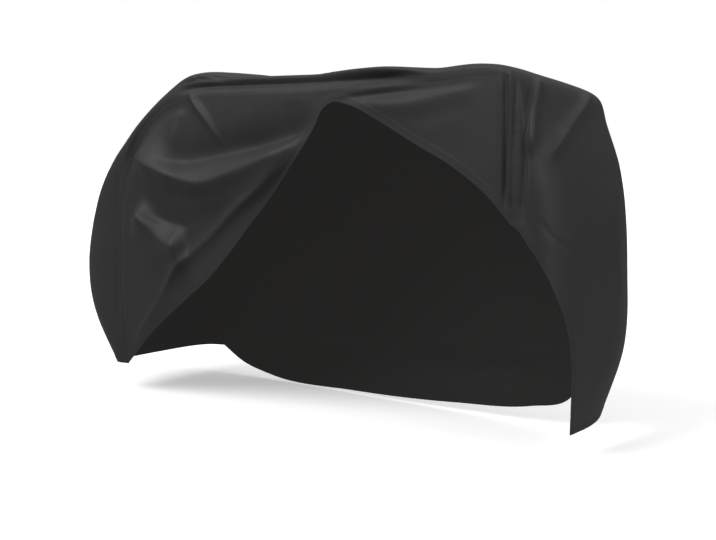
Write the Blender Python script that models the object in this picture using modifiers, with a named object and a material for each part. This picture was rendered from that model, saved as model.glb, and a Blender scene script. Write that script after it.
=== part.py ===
"""Fitted bicycle cover, standing open as in use, with the hem of its near side lifted.

Metres, +Z up, +X towards the front end, -Y towards the lifted side. Heights in the tables
are above the ground. The whole cover hangs from an empty that brings the held point, under the
middle of its top, to the origin.

The cover is three pieces of coated cloth, sewn along two long seams: a centre strip that runs
up the rear, over the top and down the front, and a panel on each side. The near panel's hem is
lifted into an arch, which goes on across the lower front of the strip.
"""

import bmesh
import bpy
import numpy as np
from mathutils import Vector
from mathutils.geometry import delaunay_2d_cdt

COVER_NAME = "bicycle_cover"
CLOTH = 0.002  # thickness of the coated cloth
SEAM_GAP = 0.0004  # between two pieces that are sewn together
SEAM_LAND = 0.010  # flat margin of the strip beside each seam
HELD_HEIGHT = 1.098  # just under the middle of the top

# The centre strip, from the rear hem over the top to the front hem, row by row.
# outline: its middle line; seam: the line where it meets the side panels; square: the shape of
# its crowned section, 2 for an ellipse and more for a squarer one; rows: grid rows to the next.
OUTLINE, SEAM, SQUARE, ROWS = slice(0, 2), slice(2, 4), 4, 5  # the table's columns
STRIP = (
    (-0.922, 0.094, -0.800, 0.101, 3.6, 3),  # rear hem
    (-1.038, 0.256, -0.797, 0.276, 3.8, 4),
    (-1.075, 0.460, -0.800, 0.469, 4.0, 4),  # fullest part of the rear end
    (-1.019, 0.674, -0.787, 0.681, 3.6, 4),
    (-0.868, 0.847, -0.722, 0.840, 4.6, 3),  # rear shoulder
    (-0.730, 0.957, -0.638, 0.946, 4.8, 3),
    (-0.590, 1.067, -0.524, 1.014, 4.6, 3),  # the top's rear corner
    (-0.478, 1.138, -0.402, 1.042, 3.6, 4),  # rear hump of the top
    (-0.285, 1.113, -0.240, 1.044, 4.4, 6),
    (0.046, 1.101, 0.055, 1.046, 5.5, 10),
    (0.500, 1.107, 0.510, 1.066, 6.0, 4),
    (0.690, 1.094, 0.690, 1.052, 4.5, 3),  # the top's front
    (0.794, 1.065, 0.796, 1.043, 3.6, 3),  # its front corner
    (0.844, 0.973, 0.806, 0.957, 3.3, 4),
    (0.904, 0.829, 0.808, 0.822, 3.4, 4),
    (0.936, 0.668, 0.812, 0.672, 3.2, 3),  # foot of the arch on the near seam
    (0.942, 0.548, 0.816, 0.557, 3.3, 5),  # fullest part of the front end
    (0.938, 0.301, 0.812, 0.340, 3.6, 5),
    (0.874, 0.062, 0.780, 0.189, 3.2, 0),  # front hem
)
ARCH_FOOT = 15  # the row where the near panel ends and the arch crosses onto the strip
SECTION_STEPS = 18  # round the crowned section, from land to land

# How far the side panels stand off the middle plane: FULL_HALF, drawn in towards the top,
# the hem and both ends.
FULL_HALF = 0.287
TOP_DRAW, TOP_DRAW_FROM, TOP_DRAW_TO = 0.020, 0.69, 1.06
HEM_DRAW, HEM_DRAW_FROM = 0.046, 0.41
END_DRAW, END_AT = 0.020, 0.83

# The near side of the top's front is pulled up and the far side sags, by this much at most.
LEAN = 0.029
LEAN_FROM, LEAN_TO = (0.52, 0.78), (0.74, 1.05)  # (x, z) where it starts and where it is full

# Hems of the side panels in side view (x, z), between their ends on the seams.
NEAR_HEM = (  # lifted, from the rear tip to the arch's foot
    (-0.598, 0.262),
    (-0.453, 0.364),
    (-0.329, 0.452),
    (-0.221, 0.551),
    (-0.134, 0.639),
    (-0.063, 0.708),
    (0.066, 0.858),
    (0.129, 0.948),
    (0.158, 0.998),
    (0.189, 1.015),  # peak of the lifted hem
    (0.253, 1.007),
    (0.364, 0.961),
    (0.489, 0.897),
    (0.625, 0.828),
    (0.731, 0.756),
)
FAR_HEM = (
    (-0.699, 0.051),
    (-0.534, 0.013),
    (-0.138, 0.007),
    (0.294, 0.025),
    (0.589, 0.055),
    (0.718, 0.092),
)
# The arch's way across the strip's lower front: by height, the share of the half section that it
# leaves, from -1 at the near seam to 0 in the middle.
ARCH = (  # (z, share)
    (0.664, -1.0),
    (0.659, -0.993),
    (0.648, -0.973),
    (0.636, -0.945),
    (0.621, -0.907),
    (0.608, -0.864),
    (0.561, -0.712),
    (0.516, -0.577),
    (0.469, -0.469),
    (0.419, -0.369),
    (0.360, -0.287),
    (0.303, -0.229),
    (0.241, -0.170),
    (0.179, -0.111),
    (0.115, -0.055),
    (0.061, -0.020),
)

# Folds: a soft ridge, or a trough where the height is negative, along a smooth curve through
# the points. above and below are the widths of its upper and its lower flank.
SIDE_FOLD_COLUMNS = ("side", "points", "above", "below", "height")  # points as (x, z)
SIDE_FOLDS = (
    # the deep swag that hangs from the lifted hem to the rear shoulder
    (
        "near",
        ((0.112, 0.935), (-0.007, 0.868), (-0.211, 0.798), (-0.330, 0.768), (-0.468, 0.790),
         (-0.559, 0.813), (-0.652, 0.838), (-0.760, 0.890)),
        0.060, 0.070, 0.036,
    ),
    # the trough above it, and the slope at its rear
    (
        "near",
        ((0.160, 1.000), (0.036, 0.944), (-0.086, 0.908), (-0.237, 0.866), (-0.345, 0.846),
         (-0.429, 0.830), (-0.500, 0.838), (-0.580, 0.870)),
        0.060, 0.024, -0.024,
    ),
    ("near", ((-0.440, 0.800), (-0.559, 0.818), (-0.652, 0.842), (-0.780, 0.900)), 0.130, 0.040, 0.012),
    ("near", ((-0.455, 1.020), (-0.488, 0.954), (-0.502, 0.884), (-0.515, 0.830)), 0.030, 0.030, 0.007),
    # the lower swag, and the trough above it
    (
        "near",
        ((-0.740, 0.710), (-0.639, 0.625), (-0.570, 0.574), (-0.500, 0.552), (-0.380, 0.590)),
        0.040, 0.075, 0.026,
    ),
    (
        "near",
        ((-0.720, 0.700), (-0.628, 0.658), (-0.557, 0.634), (-0.486, 0.622), (-0.400, 0.618)),
        0.034, 0.018, -0.008,
    ),
    # the long ridge beside the lifted hem
    (
        "near",
        ((0.100, 0.905), (0.076, 0.889), (-0.115, 0.748), (-0.298, 0.639), (-0.495, 0.467),
         (-0.700, 0.262)),
        0.026, 0.020, 0.012,
    ),
    # crease below the top's rear corner
    ("near", ((-0.450, 1.070), (-0.407, 1.036), (-0.344, 0.987), (-0.285, 0.925)), 0.014, 0.014, -0.010),
    ("near", ((-0.470, 1.030), (-0.412, 0.975), (-0.350, 0.935), (-0.310, 0.885)), 0.017, 0.017, 0.007),
    # drag line from the lifted hem to the top's front corner, and the fullness under it
    (
        "near",
        ((0.180, 1.010), (0.291, 1.035), (0.411, 1.049), (0.530, 1.067), (0.613, 1.069),
         (0.730, 1.062)),
        0.014, 0.024, -0.011,
    ),
    (
        "near",
        ((0.220, 0.985), (0.354, 1.001), (0.472, 1.006), (0.584, 1.019), (0.720, 1.025)),
        0.030, 0.045, 0.008,
    ),
    # upright pleats beside the rear and front seams
    ("near", ((-0.760, 0.850), (-0.770, 0.600), (-0.775, 0.340), (-0.770, 0.220)), 0.016, 0.016, 0.005),
    ("near", ((0.772, 1.045), (0.780, 0.900), (0.785, 0.740)), 0.014, 0.014, -0.007),
    # the far panel's own hang
    ("far", ((-0.736, 0.166), (-0.092, 0.120), (0.736, 0.193)), 0.064, 0.064, 0.013),
    ("far", ((-0.570, 0.938), (-0.304, 0.699), (-0.258, 0.294)), 0.083, 0.083, 0.015),
    ("far", ((0.055, 0.984), (0.129, 0.644), (0.055, 0.258)), 0.083, 0.083, -0.013),
    ("far", ((0.644, 0.975), (0.460, 0.699), (0.497, 0.276)), 0.074, 0.074, 0.017),
)
STRIP_FOLD_COLUMNS = ("points", "above", "below", "height")  # points as (x, y, z)
STRIP_FOLDS = (
    # groove of the near front corner, and the folds that come down across the front wall to it
    (
        ((0.812, -0.235, 1.058), (0.829, -0.250, 0.984), (0.839, -0.262, 0.867),
         (0.845, -0.267, 0.690)),
        0.014, 0.014, -0.008,
    ),
    (
        ((0.796, -0.130, 1.070), (0.831, -0.187, 1.018), (0.842, -0.226, 0.970),
         (0.848, -0.243, 0.933), (0.857, -0.256, 0.800)),
        0.018, 0.018, 0.012,
    ),
    (
        ((0.806, 0.190, 1.066), (0.855, -0.041, 0.963), (0.873, -0.149, 0.906),
         (0.880, -0.215, 0.850)),
        0.020, 0.020, 0.013,
    ),
    (((0.885, -0.250, 0.695), (0.916, -0.204, 0.630), (0.936, -0.128, 0.590)), 0.016, 0.016, -0.007),
    # lip that hangs over along the near edge of the top
    (
        ((-0.560, -0.230, 1.085), (-0.450, -0.242, 1.108), (-0.280, -0.243, 1.100),
         (0.050, -0.248, 1.091), (0.400, -0.250, 1.098)),
        0.030, 0.014, 0.007,
    ),
    # bellies of the rear and front walls
    (((-0.810, 0.037, 0.883), (-0.975, 0.000, 0.515), (-0.883, 0.037, 0.184)), 0.101, 0.101, 0.011),
    (((0.883, 0.074, 0.828), (0.911, 0.110, 0.515), (0.865, 0.092, 0.166)), 0.083, 0.083, 0.009),
)
FOLD_PITCH = 0.012  # spacing of the points that stand for a fold's curve
FOLD_END = 0.2  # share of a fold's length over which it dies away at each end
SEAM_HOLD = 0.028  # folds die away this close to a seam, which holds the cloth straight
HEM_HOLD, HEM_PULL = 0.034, 0.75  # how near the lifted hem, and how much, folds are pulled flat
EDGE_PITCH = 0.010  # spacing of the points that stand for a seam or a hem

SIDES = {"near": -1.0, "far": 1.0}
CURVE_STEPS = 24  # samples between two points of a hem, before it is read evenly
NEAR_PITCH, FAR_PITCH = 0.022, 0.056  # spacing of the panels' points, closer on the finer folds
LATTICE_MARGIN = 0.55  # least distance of a lattice point from the outline, in pitches
CUT_TOLERANCE = 1e-7  # two points of a panel this close are one

CLOTH_COLOUR = (0.036, 0.036, 0.035)
CLOTH_ROUGHNESS = 0.62
STRIP_SHADE, PANEL_SHADE = 1.0, 0.95  # the side panels are a touch darker


def curve_at(rows, knots, places):
    """A cubic curve through the rows at their knots, read at the places."""
    slopes = np.gradient(rows, knots, axis=0)
    index = np.clip(np.searchsorted(knots, places, side="right") - 1, 0, len(knots) - 2)
    span = (knots[index + 1] - knots[index])[:, None]
    t = (places - knots[index])[:, None] / span
    return (
        (2 * t**3 - 3 * t**2 + 1) * rows[index]
        + (t**3 - 2 * t**2 + t) * span * slopes[index]
        + (3 * t**2 - 2 * t**3) * rows[index + 1]
        + (t**3 - t**2) * span * slopes[index + 1]
    )


def travel(line):
    """Distance along the line at each of its points."""
    return np.concatenate([[0.0], np.cumsum(np.linalg.norm(np.diff(line, axis=0), axis=1))])


def even_curve(rows, pitch):
    """Points at even steps of about one pitch along a smooth curve through the rows."""
    rows = np.array(rows, float)
    knots = travel(rows)
    line = curve_at(rows, knots, np.linspace(0.0, knots[-1], CURVE_STEPS * len(rows)))
    so_far = travel(line)
    places = np.linspace(0.0, so_far[-1], round(so_far[-1] / pitch) + 1)
    return np.stack([np.interp(places, so_far, column) for column in line.T], axis=1)


def half_width(x, z):
    """How far a side panel stands off the middle plane, before its folds."""
    top = np.clip((z - TOP_DRAW_FROM) / (TOP_DRAW_TO - TOP_DRAW_FROM), 0.0, 1.0)
    hem = np.clip((HEM_DRAW_FROM - z) / HEM_DRAW_FROM, 0.0, 1.0)
    end = np.abs(x) / END_AT
    return FULL_HALF - TOP_DRAW * top**2 - HEM_DRAW * hem**2 - END_DRAW * end**4


def on_side(side, points):
    """Points given as (x, z), placed on one of the side panels."""
    x, z = np.array(points, float).T
    return np.stack([x, SIDES[side] * half_width(x, z), z], axis=1)


def fold_table():
    """Every fold as its points in space, its two widths and its height."""
    folds = []
    for row in SIDE_FOLDS:
        fold = dict(zip(SIDE_FOLD_COLUMNS, row))
        points = on_side(fold["side"], fold["points"])
        folds.append((points, fold["above"], fold["below"], fold["height"]))
    for row in STRIP_FOLDS:
        fold = dict(zip(STRIP_FOLD_COLUMNS, row))
        folds.append((fold["points"], fold["above"], fold["below"], fold["height"]))
    return folds


def distance_to(line, points):
    """Each point's distance from the nearest of the line's points, and which one it is."""
    away = np.linalg.norm(points[:, None] - line[None], axis=2)
    return away.min(axis=1), away.argmin(axis=1)


def fold_lift(points):
    """How far the folds lift each point outwards off the plain surface."""
    lift = np.zeros(len(points))
    for through, above, below, height in fold_table():
        line = even_curve(through, FOLD_PITCH)
        away, nearest = distance_to(line, points)
        share = nearest / (len(line) - 1)
        ends = (np.minimum(share, 1.0 - share) / FOLD_END).clip(0.0, 1.0)
        width = np.where(points[:, 2] > line[nearest, 2], above, below)
        lift += height * (3.0 * ends**2 - 2.0 * ends**3) * np.exp(-((away / width) ** 2))
    seam = even_curve([row[SEAM] for row in STRIP], EDGE_PITCH)
    for side in SIDES:
        away, _ = distance_to(on_side(side, seam), points)
        lift *= 1.0 - np.exp(-((away / SEAM_HOLD) ** 4))
    away, _ = distance_to(on_side("near", even_curve(NEAR_HEM, EDGE_PITCH)), points)
    return lift * (1.0 - HEM_PULL * np.exp(-((away / HEM_HOLD) ** 2)))


def leant(points):
    """The points with the near side of the top's front pulled up and its far side let down."""
    start, full = np.array(LEAN_FROM), np.array(LEAN_TO)
    share = ((points[..., [0, 2]] - start) / (full - start)).clip(0.0, 1.0)
    share = (3.0 * share**2 - 2.0 * share**3).prod(axis=-1)
    moved = points.copy()
    moved[..., 2] -= LEAN * share * points[..., 1] / FULL_HALF
    return moved


def strip_rows():
    """The strip's table read at every row of its grid, and the grid rows of its table rows."""
    table = np.array(STRIP)
    knots = np.concatenate([[0.0], np.cumsum(table[:-1, ROWS])])
    rows = curve_at(table[:, :ROWS], knots, np.arange(knots[-1] + 1))
    return rows, knots.astype(int)


def seam_and_way_out():
    """The seam in side view, row by row, and the unit way from it to the strip's middle line."""
    rows, _ = strip_rows()
    outwards = rows[:, OUTLINE] - rows[:, SEAM]
    return rows[:, SEAM], outwards / np.linalg.norm(outwards, axis=1)[:, None]


def strip_points():
    """The centre strip's grid: row by row along it, and from the near seam to the far one."""
    rows, knots = strip_rows()
    seam, way_out = seam_and_way_out()
    grid = []
    for index, row in enumerate(rows):
        square = row[SQUARE]
        out_x, out_z = way_out[index]
        land = seam[index] + SEAM_LAND * way_out[index]
        half = half_width(*land)
        arched = index > knots[ARCH_FOOT]
        start = np.interp(row[OUTLINE][1], *np.array(ARCH[::-1]).T) if arched else -1.0
        angle = np.linspace(start, 1.0, SECTION_STEPS + 1 + arched) * np.pi / 2
        rise = np.abs(np.cos(angle)) ** (2 / square)
        across = np.sign(angle) * np.abs(np.sin(angle)) ** (2 / square)
        flat = land + rise[:, None] * (row[OUTLINE] - land)
        points = np.stack([flat[:, 0], half * across, flat[:, 1]], axis=1)
        cosine, sine = np.cos(angle), np.sin(angle)
        facing = np.stack([out_x * cosine, sine, out_z * cosine], axis=1)
        edge = [seam[index] + SEAM_GAP / 2 * way_out[index]]
        points = np.concatenate([points, on_side("far", edge)])
        facing = np.concatenate([facing, [[0.0, 1.0, 0.0]]])
        if not arched:
            points = np.concatenate([on_side("near", edge), points])
            facing = np.concatenate([[[0.0, -1.0, 0.0]], facing])
        grid.append(points + facing * fold_lift(points)[:, None])
    return leant(np.array(grid))


def inside(outline, points):
    """Which of the points lie inside the closed outline."""
    start, end = outline, np.roll(outline, -1, axis=0)
    x, z = points[:, None, 0], points[:, None, 1]
    crosses = (start[:, 1] > z) != (end[:, 1] > z)
    rise = np.where(crosses, end[:, 1] - start[:, 1], 1.0)
    hit = start[:, 0] + (z - start[:, 1]) * (end[:, 0] - start[:, 0]) / rise
    return (crosses & (x < hit)).sum(axis=1) % 2 == 1


def lattice(outline, pitch):
    """Points of an even triangular lattice, inside the outline and clear of it."""
    low, high = outline.min(axis=0), outline.max(axis=0)
    points = []
    for index, z in enumerate(np.arange(low[1], high[1], pitch * np.sqrt(3) / 2)):
        x = np.arange(low[0] + (index % 2) * pitch / 2, high[0], pitch)
        points.append(np.stack([x, np.full(len(x), z)], axis=1))
    points = np.concatenate(points)
    points = points[inside(outline, points)]
    along = np.roll(outline, -1, axis=0) - outline
    share = ((points[:, None] - outline) * along).sum(axis=2) / (along**2).sum(axis=1)
    foot = outline + np.clip(share, 0.0, 1.0)[..., None] * along
    clear = np.linalg.norm(points[:, None] - foot, axis=2).min(axis=1)
    return points[clear > LATTICE_MARGIN * pitch]


def panel_outline(side, pitch):
    """A side panel's cut edge in side view: up the rear, along the top, down, and the hem."""
    seam, way_out = seam_and_way_out()
    _, knots = strip_rows()
    last = knots[ARCH_FOOT] if side == "near" else knots[-1]
    sewn = (seam - SEAM_GAP / 2 * way_out)[: last + 1]
    hem = NEAR_HEM if side == "near" else FAR_HEM
    return np.concatenate([sewn, even_curve([sewn[0], *hem, sewn[-1]], pitch)[-2:0:-1]])


def new_material(name, shade):
    """The coated cloth, in one of its shades."""
    material = bpy.data.materials.new(name)
    material.use_nodes = True
    surface = material.node_tree.nodes["Principled BSDF"]
    surface.inputs["Base Color"].default_value = [*(shade * c for c in CLOTH_COLOUR), 1.0]
    surface.inputs["Roughness"].default_value = CLOTH_ROUGHNESS
    surface.inputs["Metallic"].default_value = 0.0
    return material


def hang(name, mesh, cover, held, shade):
    """Adds a sheet of cloth to the cover, and gives it its thickness inwards."""
    mesh.shade_smooth()
    mesh.materials.append(new_material(name, shade))
    sheet = bpy.data.objects.new(name, mesh)
    cover.objects.link(sheet)
    sheet.parent = held
    thickness = sheet.modifiers.new("thickness", "SOLIDIFY")
    thickness.thickness = CLOTH
    thickness.offset = -1.0


def add_centre_strip(cover, held):
    """The strip over rear, top and front: a flat grid, bent into its crowned form."""
    points = strip_points()
    rows, columns = points.shape[:2]
    cloth = bmesh.new()
    bmesh.ops.create_grid(cloth, x_segments=rows - 1, y_segments=columns - 1, size=0.5)
    for vertex in cloth.verts:
        row = round((vertex.co.x + 0.5) * (rows - 1))
        column = round((vertex.co.y + 0.5) * (columns - 1))
        vertex.co = points[row, column]
    mesh = bpy.data.meshes.new("centre_strip")
    cloth.to_mesh(mesh)
    cloth.free()
    hang("centre_strip", mesh, cover, held, STRIP_SHADE)


def add_side_panel(name, side, pitch, cover, held):
    """A side panel: cut to its outline, then bent outwards along its folds."""
    outline = panel_outline(side, pitch)
    flat = np.concatenate([outline, lattice(outline, pitch)])
    ring = [(i, (i + 1) % len(outline)) for i in range(len(outline))]
    corners, _, faces, *_ = delaunay_2d_cdt([Vector(p) for p in flat], ring, [], 1, CUT_TOLERANCE)
    plain = on_side(side, [tuple(corner) for corner in corners])
    bent = plain + np.array([0.0, SIDES[side], 0.0]) * fold_lift(plain)[:, None]
    if side == "far":
        faces = [face[::-1] for face in faces]
    mesh = bpy.data.meshes.new(name)
    mesh.from_pydata(leant(bent).tolist(), [], faces)
    hang(name, mesh, cover, held, PANEL_SHADE)


def main():
    for existing in list(bpy.data.objects):
        bpy.data.objects.remove(existing)
    cover = bpy.data.collections.new(COVER_NAME)
    bpy.context.scene.collection.children.link(cover)
    held = bpy.data.objects.new("held_point", None)
    cover.objects.link(held)
    held.location.z = -HELD_HEIGHT
    add_centre_strip(cover, held)
    add_side_panel("near_side_panel", "near", NEAR_PITCH, cover, held)
    add_side_panel("far_side_panel", "far", FAR_PITCH, cover, held)


main()
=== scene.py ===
"""The looks of the fitted bicycle cover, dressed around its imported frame.

Three cloth pieces replace the frame's three plain sheets: a centre strip over rear, top and
front, and two side panels. The strip's edges are folded onto the panels along the two long
seams, and the seams and hems are topstitched. Heights in the tables are above the ground, in
metres; +X is towards the front end and -Y towards the lifted side. All points go through
to_row_frame before they become a mesh.
"""

import functools
import math

import bmesh
import bpy
import numpy as np
from bpy.props import FloatProperty, FloatVectorProperty, PointerProperty
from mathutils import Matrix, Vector, noise


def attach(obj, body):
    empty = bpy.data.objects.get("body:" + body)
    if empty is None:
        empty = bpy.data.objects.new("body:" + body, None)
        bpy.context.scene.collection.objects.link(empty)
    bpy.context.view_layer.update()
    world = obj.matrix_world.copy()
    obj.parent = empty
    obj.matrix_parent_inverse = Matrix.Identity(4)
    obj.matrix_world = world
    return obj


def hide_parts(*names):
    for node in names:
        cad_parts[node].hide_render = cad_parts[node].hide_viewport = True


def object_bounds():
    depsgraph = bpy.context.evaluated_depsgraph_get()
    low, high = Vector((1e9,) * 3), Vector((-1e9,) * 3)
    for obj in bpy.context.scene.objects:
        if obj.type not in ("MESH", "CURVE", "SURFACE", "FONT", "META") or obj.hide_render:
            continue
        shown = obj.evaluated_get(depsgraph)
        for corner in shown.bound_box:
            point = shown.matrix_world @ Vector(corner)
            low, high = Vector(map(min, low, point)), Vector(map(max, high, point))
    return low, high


bl_info = {
    "name": "Bicycle cover",
    "version": (1, 0, 0),
    "blender": (4, 5, 0),
    "location": "3D View > Sidebar > Cover",
    "description": "Dresses a fitted bicycle cover: its cloth, stitching and studio",
    "category": "Add Mesh",
}

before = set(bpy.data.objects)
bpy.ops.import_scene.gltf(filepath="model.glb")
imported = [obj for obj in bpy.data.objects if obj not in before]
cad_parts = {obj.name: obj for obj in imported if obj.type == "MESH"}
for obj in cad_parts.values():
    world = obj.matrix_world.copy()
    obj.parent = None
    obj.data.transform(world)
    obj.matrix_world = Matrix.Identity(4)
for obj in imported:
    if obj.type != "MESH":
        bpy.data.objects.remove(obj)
CAD_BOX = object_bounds()

# ------------------------------------------------------------------ the cover's own sizes

HELD_HEIGHT = 1.098
SEAM_LAP = 0.0006  # how far the strip's edge and a side panel's lie over each other
SEAM_LAND = 0.010  # flat width of the strip along its seams
OUTLINE, SEAM, SQUARE, ROWS = slice(0, 2), slice(2, 4), 4, 5
STRIP = (  # outline x and z, seam x and z, squareness of the section, rows to the next
    (-0.922, 0.094, -0.800, 0.101, 3.6, 3),  # rear hem
    (-1.038, 0.256, -0.797, 0.276, 3.8, 4),
    (-1.075, 0.460, -0.800, 0.469, 4.0, 4),  # fullest part of the rear end
    (-1.019, 0.674, -0.787, 0.681, 3.6, 4),
    (-0.868, 0.847, -0.722, 0.840, 4.6, 3),  # rear shoulder
    (-0.730, 0.957, -0.638, 0.946, 4.8, 3),
    (-0.590, 1.067, -0.524, 1.014, 4.6, 3),  # the top's rear corner
    (-0.478, 1.138, -0.402, 1.042, 3.6, 4),  # rear hump of the top
    (-0.285, 1.113, -0.240, 1.044, 4.4, 6),
    (0.046, 1.101, 0.055, 1.046, 5.5, 10),
    (0.500, 1.107, 0.510, 1.066, 6.0, 4),
    (0.690, 1.094, 0.690, 1.052, 4.5, 3),  # the top's front
    (0.794, 1.065, 0.796, 1.043, 3.6, 3),  # its front corner
    (0.844, 0.973, 0.806, 0.957, 3.3, 4),
    (0.904, 0.829, 0.808, 0.822, 3.4, 4),
    (0.936, 0.668, 0.812, 0.672, 3.2, 3),  # foot of the arch on the near seam
    (0.942, 0.548, 0.816, 0.557, 3.3, 5),  # fullest part of the front end
    (0.938, 0.301, 0.812, 0.340, 3.6, 5),
    (0.874, 0.062, 0.780, 0.189, 3.2, 0),  # front hem
)
REAR_CORNER, FRONT_CORNER, ARCH_FOOT = 6, 12, 15  # rows of that table

FULL_HALF = 0.287
TOP_DRAW, TOP_DRAW_FROM, TOP_DRAW_TO = 0.020, 0.69, 1.06
HEM_DRAW, HEM_DRAW_FROM = 0.046, 0.41
END_DRAW, END_AT = 0.020, 0.83
LEAN = 0.029  # the near side of the top's front is pulled up, and the far side sags
LEAN_FROM, LEAN_TO = (0.52, 0.78), (0.74, 1.05)  # (x, z) where it starts and where it is full

NEAR_HEM = (
    (-0.598, 0.262),
    (-0.453, 0.364),
    (-0.329, 0.452),
    (-0.221, 0.551),
    (-0.134, 0.639),
    (-0.063, 0.708),
    (0.066, 0.858),
    (0.129, 0.948),
    (0.158, 0.998),
    (0.189, 1.015),  # peak of the lifted hem
    (0.253, 1.007),
    (0.364, 0.961),
    (0.489, 0.897),
    (0.625, 0.828),
    (0.731, 0.756),
)
FAR_HEM = (
    (-0.699, 0.051),
    (-0.534, 0.013),
    (-0.138, 0.007),
    (0.294, 0.025),
    (0.589, 0.055),
    (0.718, 0.092),
)
ARCH = (  # across the strip's lower front: z, and share round the half section, -1 at the seam
    (0.664, -1.0),
    (0.659, -0.993),
    (0.648, -0.973),
    (0.636, -0.945),
    (0.621, -0.907),
    (0.608, -0.864),
    (0.561, -0.712),
    (0.516, -0.577),
    (0.469, -0.469),
    (0.419, -0.369),
    (0.360, -0.287),
    (0.303, -0.229),
    (0.241, -0.170),
    (0.179, -0.111),
    (0.115, -0.055),
    (0.061, -0.020),
)
# Which share of the near hem's length is joined to which share of its seam by a grid line.
RULING = (
    (0.0, 0.0),
    (0.124, 0.120),
    (0.281, 0.250),
    (0.411, 0.370),
    (0.553, 0.520),
    (0.650, 0.655),
    (0.738, 0.760),
    (0.878, 0.880),
    (1.0, 1.0),
)

# Folds, with the columns points, above, below, height and crest. The points are (x, z) on a
# side panel or (x, y, z) on the strip, and a smooth curve goes through them. above and below are
# the widths of its upper and its lower flank. A trough's height is negative. crest is 2 for a
# soft fold and less for a sharper one.
NEAR_FOLDS = (
    # the deep swag: its crest, the trough above it and the slope at its rear
    (
        (
            (0.112, 0.935), (-0.007, 0.868), (-0.211, 0.798), (-0.330, 0.768), (-0.468, 0.790),
            (-0.559, 0.813), (-0.652, 0.838), (-0.760, 0.890),
        ),
        0.060, 0.070, 0.042, 1.5,
    ),
    (
        (
            (0.150, 0.985), (0.036, 0.918), (-0.086, 0.888), (-0.237, 0.862), (-0.345, 0.846),
            (-0.429, 0.830), (-0.500, 0.838), (-0.580, 0.870),
        ),
        0.058, 0.022, -0.030, 1.7,
    ),
    (
        ((-0.440, 0.800), (-0.559, 0.818), (-0.652, 0.842), (-0.780, 0.900)),
        0.130, 0.040, 0.012, 1.8,
    ),
    # the lower swag and the trough above it
    (
        ((-0.705, 0.682), (-0.620, 0.620), (-0.552, 0.572), (-0.485, 0.552), (-0.420, 0.564)),
        0.042, 0.070, 0.036, 1.9,
    ),
    (
        ((-0.690, 0.688), (-0.628, 0.658), (-0.557, 0.634), (-0.486, 0.622), (-0.400, 0.618)),
        0.034, 0.012, -0.008, 1.6,
    ),
    # the long ridge beside the lifted hem, and its softer run down to the rear
    (
        (
            (0.102, 0.940), (0.065, 0.874), (-0.042, 0.781), (-0.190, 0.683), (-0.326, 0.579),
            (-0.433, 0.507), (-0.520, 0.430), (-0.600, 0.336),
        ),
        0.022, 0.018, 0.013, 1.5,
    ),
    (
        (
            (-0.400, 0.531), (-0.450, 0.495), (-0.501, 0.450), (-0.543, 0.395), (-0.617, 0.318),
            (-0.689, 0.240), (-0.762, 0.160),
        ),
        0.014, 0.050, 0.006, 1.6,
    ),
    # edge of the light slope below the top's rear corner
    (
        ((-0.455, 1.020), (-0.488, 0.954), (-0.502, 0.884), (-0.515, 0.830)),
        0.030, 0.030, 0.007, 1.6,
    ),
    # drag line from the lifted hem to the top's front corner, and the fullness under it
    (
        (
            (0.180, 1.010), (0.291, 1.035), (0.411, 1.049), (0.530, 1.067), (0.613, 1.069),
            (0.730, 1.062),
        ),
        0.013, 0.024, -0.012, 1.6,
    ),
    (
        ((0.220, 0.985), (0.354, 1.001), (0.472, 1.006), (0.584, 1.019), (0.720, 1.025)),
        0.030, 0.045, 0.008, 1.7,
    ),
    # slight ones
    (
        ((0.047, 0.858), (-0.104, 0.772), (-0.286, 0.700), (-0.560, 0.694)),
        0.020, 0.030, 0.003, 1.7,
    ),
    (((0.330, 0.958), (0.500, 0.930), (0.700, 0.950)), 0.030, 0.040, 0.002, 2.0),
)
FAR_FOLDS = (
    (((-0.736, 0.166), (-0.092, 0.120), (0.736, 0.193)), 0.064, 0.064, 0.013, 2.0),
    (((-0.570, 0.938), (-0.304, 0.699), (-0.258, 0.294)), 0.083, 0.083, 0.015, 2.0),
    (((0.055, 0.984), (0.129, 0.644), (0.055, 0.258)), 0.083, 0.083, -0.013, 2.0),
    (((0.644, 0.975), (0.460, 0.699), (0.497, 0.276)), 0.074, 0.074, 0.017, 2.0),
    (
        ((-0.400, 1.020), (-0.150, 0.960), (0.150, 0.975), (0.520, 1.020)),
        0.024, 0.024, 0.006, 1.8,
    ),
    (((-0.640, 0.860), (-0.480, 0.640), (-0.520, 0.330)), 0.030, 0.030, -0.006, 1.8),
    (((0.720, 0.900), (0.640, 0.620), (0.690, 0.300)), 0.028, 0.028, 0.006, 1.8),
    (((-0.700, 0.240), (-0.300, 0.200), (0.100, 0.220)), 0.020, 0.020, -0.004, 1.8),
    (((0.150, 0.230), (0.420, 0.190), (0.700, 0.250)), 0.022, 0.022, -0.004, 1.8),
    (((-0.120, 0.880), (-0.060, 0.600), (-0.130, 0.330)), 0.034, 0.034, 0.006, 1.8),
    (((0.290, 0.860), (0.300, 0.560), (0.260, 0.320)), 0.030, 0.030, 0.005, 1.8),
)
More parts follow.
